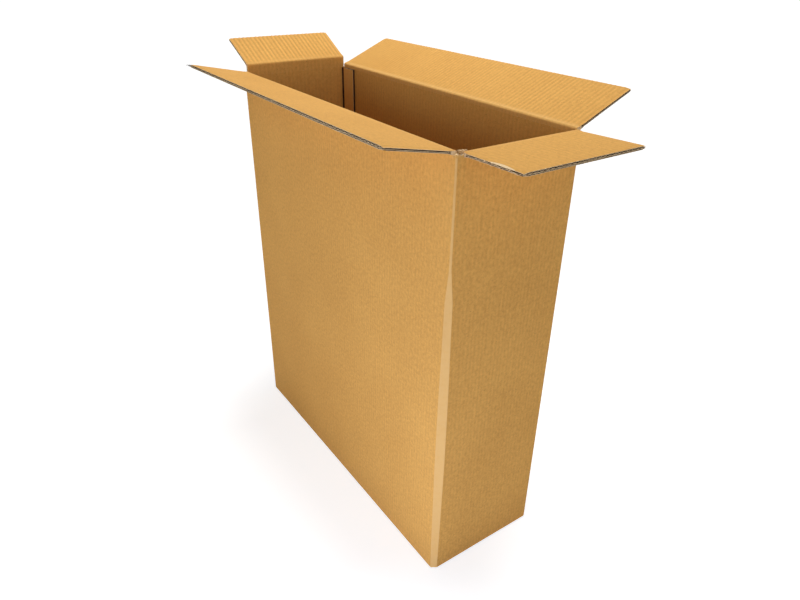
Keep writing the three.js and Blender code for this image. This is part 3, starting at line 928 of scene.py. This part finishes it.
# %% [markdown]
# ## The washboard
#
# Paper that is glued to flutes sinks a little between them, so every face of the board has ridges as wide
# as its flutes. A second tree does this for every piece: it lifts each point along its normal by the
# cosine of its flute mark, adds a slow unevenness, and keeps the ridge as a mark for the shader. It also
# gives every face the paper that its finish mark names.

# %% A node tree for the washboard
board_tree, PRESS = new_tree("washboard", [
    ("Geometry", "NodeSocketGeometry"), ("Height", FLOAT), ("Unevenness", FLOAT),
    ("Outside", "NodeSocketMaterial"), ("Inside", "NodeSocketMaterial"),
    ("Flutes and shade", "NodeSocketMaterial"), ("Cut", "NodeSocketMaterial"),
])


def mark(name, data_type="FLOAT"):
    found = node(board_tree, "GeometryNodeInputNamedAttribute", {"Name": name}, data_type=data_type)
    return found.outputs[0]


given = board_tree.nodes.new("NodeGroupInput").outputs
cosine = maths(board_tree, "COSINE", maths(board_tree, "MULTIPLY", mark("phase"), 2 * math.pi))
ridge = maths(board_tree, "MULTIPLY", cosine, mark("lift"))
kept = node(board_tree, "GeometryNodeStoreNamedAttribute",
            {"Geometry": given["Geometry"], "Name": "ridge", "Value": ridge},
            data_type="FLOAT", domain="POINT")
uneven = node(board_tree, "ShaderNodeTexNoise", {"Scale": 11.0, "Detail": 1.0}).outputs[0]
uneven = maths(board_tree, "MULTIPLY", maths(board_tree, "SUBTRACT", uneven, 0.5), given["Unevenness"])
height = maths(board_tree, "ADD", maths(board_tree, "MULTIPLY", ridge, given["Height"]), uneven)
signed = maths(board_tree, "MULTIPLY", height, mark("side"))
push = node(board_tree, "ShaderNodeVectorMath",
            {0: node(board_tree, "GeometryNodeInputNormal").outputs[0], "Scale": signed}, operation="SCALE")
shape = node(board_tree, "GeometryNodeSetPosition",
             {"Geometry": kept.outputs[0], "Offset": push.outputs[0]}).outputs[0]
shape = node(board_tree, "GeometryNodeRealizeInstances", {0: shape}).outputs[0]
for number, label in enumerate(("Outside", "Inside", "Flutes and shade", "Cut")):
    chosen = node(board_tree, "FunctionNodeCompare", {2: mark("finish", "INT"), 3: number},
                  data_type="INT", operation="EQUAL")
    shape = node(board_tree, "GeometryNodeSetMaterial",
                 {"Geometry": shape, "Selection": chosen.outputs[0], "Material": given[label]}).outputs[0]
board_end = board_tree.nodes.new("NodeGroupOutput")
board_tree.links.new(shape, board_end.inputs[0])
print("washboard tree:", len(board_tree.nodes), "nodes")

# %% Finished pieces
RIDGE_HEIGHT = 0.055       # of the walls' washboard
UNEVENNESS = 0.5           # slow waves of the whole board
SHARP = math.radians(24)   # edges that turn more than this stay crisp


def finished(name, board):
    """The gathered papers as one finished mesh: washboard pressed in, papers given, folds kept crisp."""
    holder = bpy.data.objects.new(name + "_flat", board.mesh(name + "_flat"))
    values = {"Height": RIDGE_HEIGHT * MM, "Unevenness": UNEVENNESS * MM}
    values.update(zip(("Outside", "Inside", "Flutes and shade", "Cut"), PAPERS))
    mesh = through_tree(holder, board_tree, PRESS, values)
    for used in ("phase", "lift", "side", "finish"):
        mesh.attributes.remove(mesh.attributes[used])
    mesh.shade_smooth()
    mesh.set_sharp_from_angle(angle=SHARP)
    mesh.name = name
    piece = bpy.data.objects.new(name, mesh)
    bpy.context.scene.collection.objects.link(piece)
    print(f"{name}: {sum(len(p.vertices) - 2 for p in mesh.polygons)} triangles")
    return piece


sheet_piece = finished("folded_sheet", carton)
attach(sheet_piece, "carton")
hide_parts("carton_body")

# %% [markdown]
# ## The flaps' boards
#
# Each flap's mesh crosses its hinge. It is finished like the carton's and left where it was drawn, and
# the solid flap that it stands for is hidden.

for side, board in flap_boards.items():
    piece = finished(f"{side}_flap_board", board)
    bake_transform(piece)
    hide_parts("top_flap_" + side)

# %% [markdown]
# ## Floor, light and camera
#
# The carton is shown as in a catalogue: on white, in soft light. A weak sun lamp stands almost overhead
# and lights the flaps and the floor. The world is a pale studio whose walls are bright and whose ceiling
# is nearly dark: it lights the carton's sides and leaves its inside dim, as little light gets in. Four
# soft boxes do the rest: a cool one low in front lights the walls beside the near corner, two hang over
# the short flaps, and one shines down into the back left corner. The camera stands where the photograph's
# did: its place was worked out from the edges of the box.

# %% White floor and background
FLOOR_GREY = (0.84, 0.84, 0.84, 1.0)
SEEN_GREY = (0.5, 0.5, 0.5, 1.0)
WHITE = (1.0, 1.0, 1.0, 1.0)
FLOOR_GLOW = 0.76
FLOOR_REACH = 40.0         # in metres


def white_floor():
    """Matt white that the camera sees a little lighter than the light that it throws back."""
    material = bpy.data.materials.new("white_floor")
    material.use_nodes = True
    tree = material.node_tree
    tree.nodes.clear()
    plain = node(tree, "ShaderNodeBsdfDiffuse", {"Color": FLOOR_GREY})
    bright = node(tree, "ShaderNodeBsdfDiffuse", {"Color": SEEN_GREY})
    glow = node(tree, "ShaderNodeEmission", {"Color": WHITE, "Strength": FLOOR_GLOW})
    seen = node(tree, "ShaderNodeAddShader", {0: bright.outputs[0], 1: glow.outputs[0]})
    by_camera = node(tree, "ShaderNodeLightPath").outputs["Is Camera Ray"]
    chosen = node(tree, "ShaderNodeMixShader", {0: by_camera, 1: plain.outputs[0], 2: seen.outputs[0]})
    tree.links.new(chosen.outputs[0], tree.nodes.new("ShaderNodeOutputMaterial").inputs["Surface"])
    return material


floor_mesh = bpy.data.meshes.new("floor")
corners = [(-FLOOR_REACH, -FLOOR_REACH), (FLOOR_REACH, -FLOOR_REACH), (FLOOR_REACH, FLOOR_REACH),
           (-FLOOR_REACH, FLOOR_REACH)]
floor_mesh.from_pydata([(x, y, 0.0) for x, y in corners], [], [(0, 1, 2, 3)])
floor_mesh.materials.append(white_floor())
floor = bpy.data.objects.new("floor", floor_mesh)
bpy.context.scene.collection.objects.link(floor)

# %% A studio for the world
HORIZON = 0.95             # level of the studio's walls, which light the carton from the sides
OVERHEAD = 0.02            # level of its ceiling
GLOW_FOOT = 0.22           # sine of the height from which the walls get darker
GLOW_TOP = 0.44            # sine of the height where the ceiling starts
FRONT_SHARE = 1.25         # of that level, from the front
BACK_SHARE = 0.8           # and from the back
STUDIO_TINT = (0.98, 0.99, 1.0, 1.0)
world = bpy.data.worlds.new("studio")
bpy.context.scene.world = world
world.use_nodes = True
tree = world.node_tree
tree.nodes.clear()
path_of_light = node(tree, "ShaderNodeLightPath").outputs
seen = maths(tree, "MAXIMUM", path_of_light["Is Camera Ray"], path_of_light["Is Glossy Ray"])
seen = maths(tree, "MAXIMUM", seen, path_of_light["Is Transmission Ray"])
aim = node(tree, "ShaderNodeSeparateXYZ", {0: node(tree, "ShaderNodeTexCoord").outputs["Generated"]}).outputs
strength = band(tree, aim["Z"], GLOW_FOOT, GLOW_TOP, HORIZON, OVERHEAD)
lean = band(tree, aim["Y"], -1.0, 1.0, FRONT_SHARE, BACK_SHARE)
strength = maths(tree, "MULTIPLY", strength, lean)
fill = node(tree, "ShaderNodeBackground", {"Color": STUDIO_TINT, "Strength": strength})
white = node(tree, "ShaderNodeBackground", {"Color": WHITE, "Strength": 1.0})
chosen = node(tree, "ShaderNodeMixShader", {0: seen, 1: fill.outputs[0], 2: white.outputs[0]})
tree.links.new(chosen.outputs[0], tree.nodes.new("ShaderNodeOutputWorld").inputs["Surface"])


# %% Soft key light
def sun(name, towards, strength, disc):
    """A sun lamp that shines from the direction given, strength being the level on a face turned to it."""
    lamp = bpy.data.lights.new(name, "SUN")
    lamp.energy = strength * math.pi
    lamp.angle = math.radians(disc)
    obj = bpy.data.objects.new(name, lamp)
    obj.rotation_euler = Vector(towards).to_track_quat("Z", "Y").to_euler()
    bpy.context.scene.collection.objects.link(obj)
    return obj


sun("key", (0.0, 0.08, 1.0), 0.5, 14)


# %% Soft boxes
def soft_box(name, at, aim, size, level, tint=(1.0, 1.0, 1.0)):
    """A square lamp that gives the level on a face at the aimed place that is turned to it."""
    reach = (Vector(at) - Vector(aim)).length
    lamp = bpy.data.lights.new(name, "AREA")
    lamp.size = size
    lamp.color = tint
    lamp.energy = level * math.pi ** 2 * reach ** 2
    obj = bpy.data.objects.new(name, lamp)
    obj.rotation_euler = (Vector(at) - Vector(aim)).to_track_quat("Z", "Y").to_euler()
    obj.location = at
    obj.visible_camera = False
    bpy.context.scene.collection.objects.link(obj)
    return obj


COOL = (0.92, 1.05, 1.5)
soft_box("front_box", (0.62, -0.76, 0.2), (0.25, -0.1, 0.1), 0.36, 0.55, COOL)
soft_box("top_box_right", (0.28, 0.0, 1.25), (0.28, 0.0, 0.7), 0.3, 0.2)
soft_box("top_box_left", (-0.28, 0.0, 1.25), (-0.28, 0.0, 0.7), 0.3, 0.09)
soft_box("back_corner_box", (-0.24, 0.12, 1.45), (-0.22, 0.12, 0.7), 0.3, 0.36)
print("lamps:", len(bpy.data.lights))

# %% Camera
CAMERA_AT = (829.8, -549.7, 882.2)
CAMERA_AZIMUTH = math.radians(54.95)
CAMERA_HEIGHT = math.radians(28.98)
CAMERA_ROLL = math.radians(0.89)
FRAME_WIDTH = 800          # of the 800 x 600 picture
FOCAL = 641.6              # in pixels of that picture

backward = Vector((math.sin(CAMERA_AZIMUTH) * math.cos(CAMERA_HEIGHT),
                   -math.cos(CAMERA_AZIMUTH) * math.cos(CAMERA_HEIGHT), math.sin(CAMERA_HEIGHT)))
level = (-backward).cross(Vector((0, 0, 1))).normalized()
top = level.cross(-backward)
right = level * math.cos(CAMERA_ROLL) + top * math.sin(CAMERA_ROLL)
top = top * math.cos(CAMERA_ROLL) - level * math.sin(CAMERA_ROLL)
camera_data = bpy.data.cameras.new("camera")
camera_data.sensor_width = 36.0
camera_data.lens = camera_data.sensor_width * FOCAL / FRAME_WIDTH
camera_data.clip_start = 0.01
camera_data.clip_end = 200.0
camera = bpy.data.objects.new("camera", camera_data)
camera.matrix_world = axes_at(right, top, backward, place(*CAMERA_AT))
bpy.context.scene.collection.objects.link(camera)
bpy.context.scene.camera = camera
bpy.context.scene.view_settings.view_transform = "Standard"
print("camera", [round(v, 3) for v in camera.location], "lens", round(camera_data.lens, 2))

# %% Finish
bpy.context.view_layer.update()
